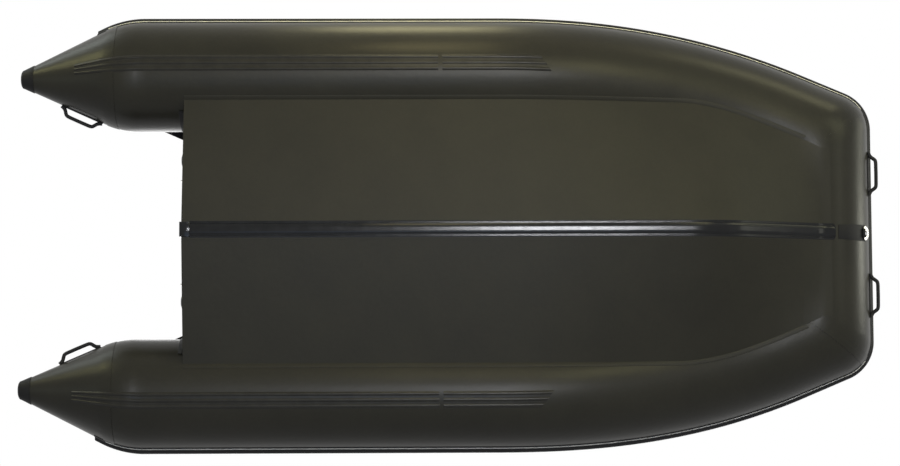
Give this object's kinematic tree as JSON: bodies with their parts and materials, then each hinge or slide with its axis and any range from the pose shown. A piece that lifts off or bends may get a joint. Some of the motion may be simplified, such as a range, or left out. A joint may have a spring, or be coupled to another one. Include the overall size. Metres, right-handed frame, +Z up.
{
  "type": "inflatable dinghy",
  "caption": "Inflatable V-hull dinghy with pointed stern cones, blunt bow, rigid transom, keel guard, rub strakes, handles, floor boards and sliding bench.",
  "frame": {"origin": "middle of the keel guard's flat underside, halfway between the cones' tips and the bow handles", "axes": "+X towards the bow, +Y to port, +Z up"},
  "size_m": [3.3016, 1.6568, 0.602],
  "materials": {
    "aluminium": "anodised",
    "black_plastic": "satin",
    "bottom_fabric": "satin coated fabric",
    "grey_plastic": "satin",
    "inner_fabric": "matte",
    "keel_rubber": "semi-gloss",
    "moulded_rubber": "satin",
    "painted_ply": "painted plywood",
    "plywood": "varnished plywood",
    "stainless": "polished",
    "tube_fabric": "satin coated fabric"
  },
  "bodies": {
    "hull": {"aft_floor_board": "plywood", "aft_floor_joiner": "aluminium", "bow_floor_board": "plywood", "bow_floor_joiner": "aluminium", "bow_ring_patch": "moulded_rubber", "bow_strake": "moulded_rubber", "bow_tube": "tube_fabric", "bow_valve": "grey_plastic", "keel_end_cap": "keel_rubber", "keel_guard": "keel_rubber", "keel_tube": "tube_fabric", "keel_valve": "grey_plastic", "middle_floor_board": "plywood", "motor_pad_inner": "black_plastic", "motor_pad_outer": "black_plastic", "port_aft_wear_strip": "keel_rubber", "port_bench_track": "black_plastic", "port_bottom_skin": "bottom_fabric", "port_bow_handle": "moulded_rubber", "port_bulkhead": "inner_fabric", "port_cone": "tube_fabric", "port_cone_tip": "moulded_rubber", "port_drain_fitting": "black_plastic", "port_forward_wear_strip": "keel_rubber", "port_rowlock_base": "moulded_rubber", "port_stern_handle": "moulded_rubber", "port_strake": "moulded_rubber", "port_tow_eye": "stainless", "port_transom_holder": "moulded_rubber", "port_transom_knee": "moulded_rubber", "port_tube": "tube_fabric", "port_valve": "grey_plastic", "starboard_aft_wear_strip": "keel_rubber", "starboard_bench_track": "black_plastic", "starboard_bottom_skin": "bottom_fabric", "starboard_bow_handle": "moulded_rubber", "starboard_bulkhead": "inner_fabric", "starboard_cone": "tube_fabric", "starboard_cone_tip": "moulded_rubber", "starboard_drain_fitting": "black_plastic", "starboard_forward_wear_strip": "keel_rubber", "starboard_rowlock_base": "moulded_rubber", "starboard_stern_handle": "moulded_rubber", "starboard_strake": "moulded_rubber", "starboard_tow_eye": "stainless", "starboard_transom_holder": "moulded_rubber", "starboard_transom_knee": "moulded_rubber", "starboard_tube": "tube_fabric", "starboard_valve": "grey_plastic", "transom_board": "painted_ply"},
    "tow_ring": {"bow_tow_ring": "stainless"},
    "bench": {"bench_seat": "plywood"},
    "starboard_plug": {"starboard_drain_plug": "grey_plastic"},
    "starboard_cap": {"starboard_valve_cap": "black_plastic"},
    "starboard_lock": {"starboard_rowlock": "black_plastic"},
    "port_plug": {"port_drain_plug": "grey_plastic"},
    "port_cap": {"port_valve_cap": "black_plastic"},
    "port_lock": {"port_rowlock": "black_plastic"},
    "bow_cap": {"bow_valve_cap": "black_plastic"},
    "keel_cap": {"keel_valve_cap": "black_plastic"}
  },
  "joints": [
    {"name": "tow_ring_hinge", "type": "hinge", "parent": "hull", "child": "tow_ring", "pos_m": [1.56529, 0, 0.26014], "axis": [0, 1, 0], "range_deg": [0, 150]},
    {"name": "bench_slide", "type": "slide", "parent": "hull", "child": "bench", "axis": [1, 0, 0], "range_m": [-0.3, 0.4]},
    {"name": "starboard_plug_slide", "type": "slide", "parent": "hull", "child": "starboard_plug", "axis": [1, 0, 0], "range_m": [0, 0.05]},
    {"name": "starboard_cap_turn", "type": "hinge", "parent": "hull", "child": "starboard_cap", "pos_m": [-0.85081, -0.41075, 0.3537], "axis": [0, 0.9239, 0.3827], "range_deg": [0, 90]},
    {"name": "starboard_lock_swivel", "type": "hinge", "parent": "hull", "child": "starboard_lock", "pos_m": [-0.33082, -0.57585, 0.5162], "axis": [0, 0.1305, 0.9914], "range_deg": [-60, 60]},
    {"name": "port_plug_slide", "type": "slide", "parent": "hull", "child": "port_plug", "axis": [1, 0, 0], "range_m": [0, 0.05]},
    {"name": "port_cap_turn", "type": "hinge", "parent": "hull", "child": "port_cap", "pos_m": [-0.85081, 0.41075, 0.3537], "axis": [0, -0.9239, 0.3827], "range_deg": [0, 90]},
    {"name": "port_lock_swivel", "type": "hinge", "parent": "hull", "child": "port_lock", "pos_m": [-0.33082, 0.57585, 0.5162], "axis": [0, -0.1305, 0.9914], "range_deg": [-60, 60]},
    {"name": "bow_cap_turn", "type": "hinge", "parent": "hull", "child": "bow_cap", "pos_m": [1.1962, 0, 0.4737], "axis": [-0.9239, 0, 0.3827], "range_deg": [0, 90]},
    {"name": "keel_cap_turn", "type": "hinge", "parent": "hull", "child": "keel_cap", "pos_m": [0.44919, 0, 0.1262], "axis": [0, 0, 1], "range_deg": [0, 90]}
  ]
}
